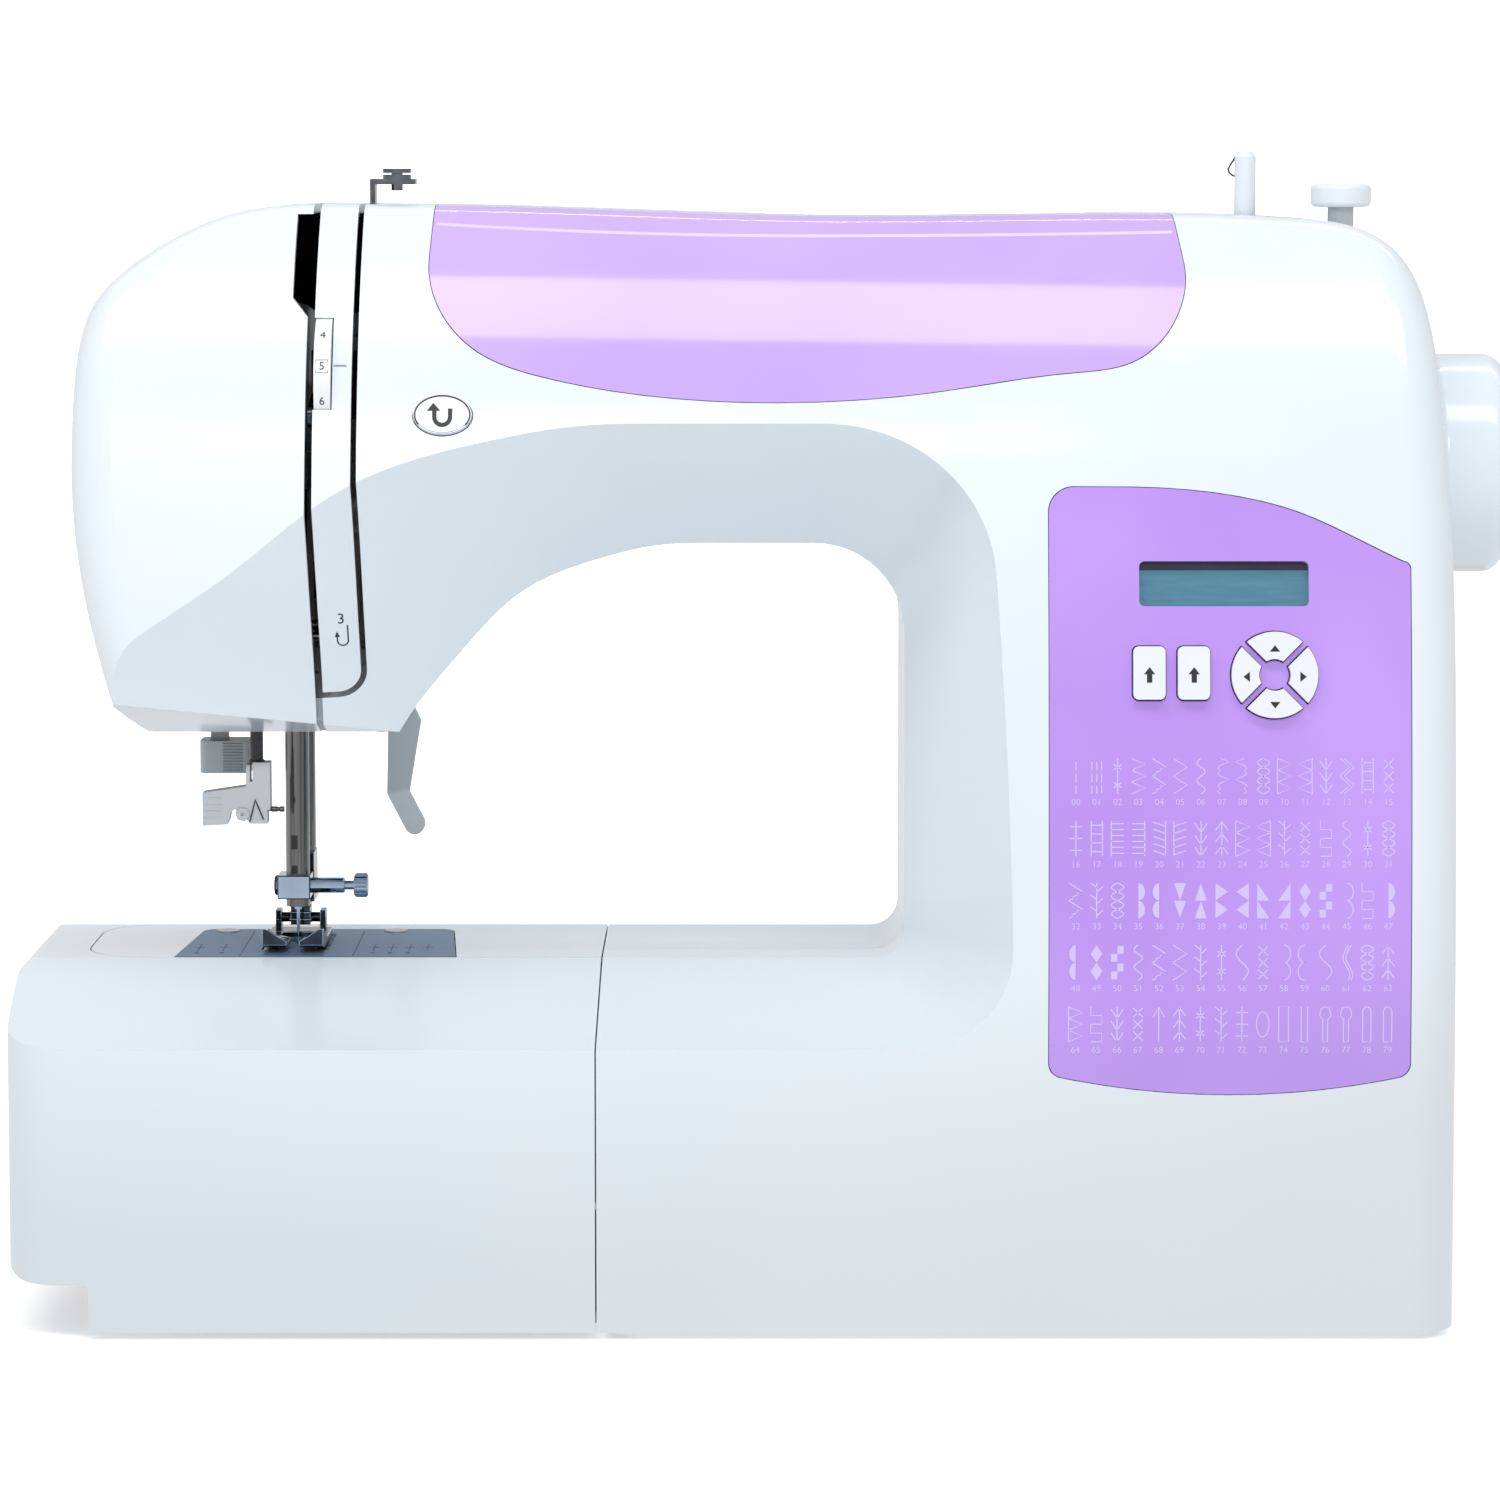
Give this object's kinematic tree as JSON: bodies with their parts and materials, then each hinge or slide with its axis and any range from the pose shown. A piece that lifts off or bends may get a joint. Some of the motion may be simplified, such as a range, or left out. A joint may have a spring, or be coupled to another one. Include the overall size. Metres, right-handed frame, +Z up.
{
  "type": "sewing machine",
  "caption": "Domestic computerised sewing machine with a bevelled throat, keyed control panel with display, handwheel, and a slide-on extension table round a free arm.",
  "frame": {"origin": "on the table top, under the middle of the machine's overall box", "axes": "+X along the machine to the operator's right, +Y away from the operator, +Z up"},
  "size_m": [0.412, 0.16, 0.3157],
  "materials": {
    "white_shell": "satin moulded",
    "lilac_panel": "satin inlay",
    "grey_plastic": "fine moulded",
    "steel": "ground",
    "plated_steel": "polished plate",
    "cast_aluminium": "as cast",
    "black_rubber": "moulded",
    "belt_rubber": "moulded",
    "sintered_bronze": "sintered",
    "display_glass": "clear window",
    "board": "solder mask",
    "black_plastic": "fine moulded",
    "key_plastic": "satin moulded"
  },
  "bodies": {
    "machine": {"front_cover": "white_shell", "rear_cover": "white_shell", "face_cover": "white_shell", "thread_guide_cover": "white_shell", "arm_panel": "lilac_panel", "control_panel": "lilac_panel", "display_window": "display_glass", "circuit_board": "board", "base_plate": "grey_plastic", "rubber_feet": "black_rubber", "screws": "steel", "free_arm_cover": "white_shell", "needle_plate": "plated_steel", "hook_race": "steel", "bobbin_case": "plated_steel", "main_frame": "cast_aluminium", "shaft_bushes": "sintered_bronze", "timing_belt": "belt_rubber", "motor_belt": "belt_rubber", "motor": "steel", "presser_spring": "steel", "top_thread_guide": "plated_steel", "winder_stop": "white_shell", "spool_pin": "white_shell", "power_inlet": "black_plastic"},
    "main_drive": {"main_shaft": "steel", "crank_disc": "cast_aluminium", "handwheel": "white_shell"},
    "lower_drive": {"lower_shaft": "steel"},
    "motor_rotor": {"motor_pulley": "steel"},
    "rocking_frame": {"needle_bar_frame": "cast_aluminium"},
    "needle_group": {"needle_bar": "plated_steel", "connecting_link": "cast_aluminium", "needle_clamp": "plated_steel", "clamp_screw": "plated_steel", "needle": "plated_steel"},
    "take_up": {"take_up_lever": "plated_steel"},
    "hook": {"shuttle_hook": "steel", "hook_driver": "steel"},
    "feed": {"feed_dog": "steel"},
    "presser": {"presser_bar": "plated_steel", "foot_holder": "plated_steel", "presser_foot": "plated_steel"},
    "lifter": {"presser_lifter": "grey_plastic"},
    "threader": {"needle_threader": "white_shell"},
    "buttonhole": {"buttonhole_lever": "grey_plastic"},
    "dial": {"tension_dial": "white_shell"},
    "reverse": {"reverse_button": "key_plastic"},
    "key_a": {"key_left": "key_plastic"},
    "key_b": {"key_right": "key_plastic"},
    "pad_n": {"pad_key_up": "key_plastic"},
    "pad_s": {"pad_key_down": "key_plastic"},
    "pad_w": {"pad_key_left": "key_plastic"},
    "pad_e": {"pad_key_right": "key_plastic"},
    "winder": {"winder_arm": "grey_plastic"},
    "spindle": {"winder_spindle": "white_shell"},
    "handle": {"carry_handle": "white_shell"},
    "door": {"shuttle_door": "white_shell"},
    "table": {"extension_table": "white_shell"},
    "rocker": {"power_rocker": "black_plastic"}
  },
  "joints": [
    {"name": "handwheel_spin", "type": "hinge", "parent": "machine", "child": "main_drive", "pos_m": [0.196, 0.01, 0.229], "axis": [1, 0, 0], "continuous": true},
    {"name": "lower_shaft_spin", "type": "hinge", "parent": "machine", "child": "lower_drive", "pos_m": [0, 0.01, 0.036], "axis": [1, 0, 0], "continuous": true},
    {"name": "motor_spin", "type": "hinge", "parent": "machine", "child": "motor_rotor", "pos_m": [0.16, 0.005, 0.06], "axis": [1, 0, 0], "continuous": true},
    {"name": "needle_swing", "type": "hinge", "parent": "machine", "child": "rocking_frame", "pos_m": [-0.1315, 0.015, 0.266], "axis": [0, 1, 0], "range_deg": [-0.86, 0.86]},
    {"name": "needle_bar_slide", "type": "slide", "parent": "rocking_frame", "child": "needle_group", "axis": [0, 0, 1], "range_m": [0, 0.03]},
    {"name": "take_up_swing", "type": "hinge", "parent": "machine", "child": "take_up", "pos_m": [-0.1217, 0.02, 0.258], "axis": [-1, 0, 0], "range_deg": [0, 32.2]},
    {"name": "hook_swing", "type": "hinge", "parent": "machine", "child": "hook", "pos_m": [-0.1315, 0.016, 0.06], "axis": [0, 1, 0], "range_deg": [0, 195]},
    {"name": "feed_lift", "type": "slide", "parent": "machine", "child": "feed", "axis": [0, 0, 1], "range_m": [0, 0.00121]},
    {"name": "presser_lift", "type": "slide", "parent": "machine", "child": "presser", "axis": [0, 0, 1], "range_m": [0, 0.006], "deforming": ["presser_spring"]},
    {"name": "lifter_swing", "type": "hinge", "parent": "machine", "child": "lifter", "pos_m": [-0.112, 0.031, 0.168], "axis": [0, -1, 0], "range_deg": [0, 80.3]},
    {"name": "threader_slide", "type": "slide", "parent": "machine", "child": "threader", "axis": [0, 0, -1], "range_m": [0, 0.024], "stiffness_N_per_m": 60, "springref_m": -0.01},
    {"name": "buttonhole_slide", "type": "slide", "parent": "machine", "child": "buttonhole", "axis": [0, 0, -1], "range_m": [0, 0.025]},
    {"name": "tension_turn", "type": "hinge", "parent": "machine", "child": "dial", "pos_m": [-0.118, -0.0403, 0.25308], "axis": [1, 0, 0], "range_deg": [-140, 140]},
    {"name": "reverse_press", "type": "slide", "parent": "machine", "child": "reverse", "axis": [0, 0.957, -0.2902], "range_m": [0, 0.0015], "stiffness_N_per_m": 500, "springref_m": -0.0004},
    {"name": "key_left_press", "type": "slide", "parent": "machine", "child": "key_a", "axis": [0, 0.991, -0.1336], "range_m": [0, 0.0012], "stiffness_N_per_m": 500, "springref_m": -0.0004},
    {"name": "key_right_press", "type": "slide", "parent": "machine", "child": "key_b", "axis": [0, 0.991, -0.1336], "range_m": [0, 0.0012], "stiffness_N_per_m": 500, "springref_m": -0.0004},
    {"name": "pad_up_press", "type": "slide", "parent": "machine", "child": "pad_n", "axis": [0, 0.9911, -0.133], "range_m": [0, 0.0012], "stiffness_N_per_m": 400, "springref_m": -0.0004},
    {"name": "pad_down_press", "type": "slide", "parent": "machine", "child": "pad_s", "axis": [0, 0.9911, -0.133], "range_m": [0, 0.0012], "stiffness_N_per_m": 400, "springref_m": -0.0004},
    {"name": "pad_left_press", "type": "slide", "parent": "machine", "child": "pad_w", "axis": [0, 0.9911, -0.133], "range_m": [0, 0.0012], "stiffness_N_per_m": 400, "springref_m": -0.0004},
    {"name": "pad_right_press", "type": "slide", "parent": "machine", "child": "pad_e", "axis": [0, 0.9911, -0.133], "range_m": [0, 0.0012], "stiffness_N_per_m": 400, "springref_m": -0.0004},
    {"name": "winder_swing", "type": "hinge", "parent": "machine", "child": "winder", "pos_m": [0.1337, 0.027, 0.282], "axis": [0, 0, 1], "range_deg": [0, 26]},
    {"name": "winder_spin", "type": "hinge", "parent": "winder", "child": "spindle", "pos_m": [0.1337, 0.01, 0.3], "axis": [0, 0, 1], "continuous": true},
    {"name": "handle_swing", "type": "hinge", "parent": "machine", "child": "handle", "pos_m": [0, 0.06, 0.268], "axis": [1, 0, 0], "range_deg": [0, 150]},
    {"name": "door_swing", "type": "hinge", "parent": "machine", "child": "door", "pos_m": [-0.1315, -0.0131, 0.03585], "axis": [1, 0, 0], "range_deg": [0, 88]},
    {"name": "table_slide", "type": "slide", "parent": "machine", "child": "table", "axis": [-1, 0, 0], "range_m": [0, 0.17]},
    {"name": "rocker_tilt", "type": "hinge", "parent": "machine", "child": "rocker", "pos_m": [0.1783, 0.04, 0.048], "axis": [0, 1, 0], "range_deg": [-8, 8]}
  ],
  "couplings": [
    {"joint": "lower_shaft_spin", "follows": "handwheel_spin", "ratio": 1},
    {"joint": "motor_spin", "follows": "handwheel_spin", "ratio": 4},
    {"joint": "take_up_swing", "follows": "needle_bar_slide", "rad_per_m": 18.6},
    {"joint": "hook_swing", "follows": "needle_bar_slide", "rad_per_m": 113},
    {"joint": "feed_lift", "follows": "needle_bar_slide", "ratio": 0.04},
    {"joint": "lifter_swing", "follows": "presser_lift", "rad_per_m": 233}
  ]
}
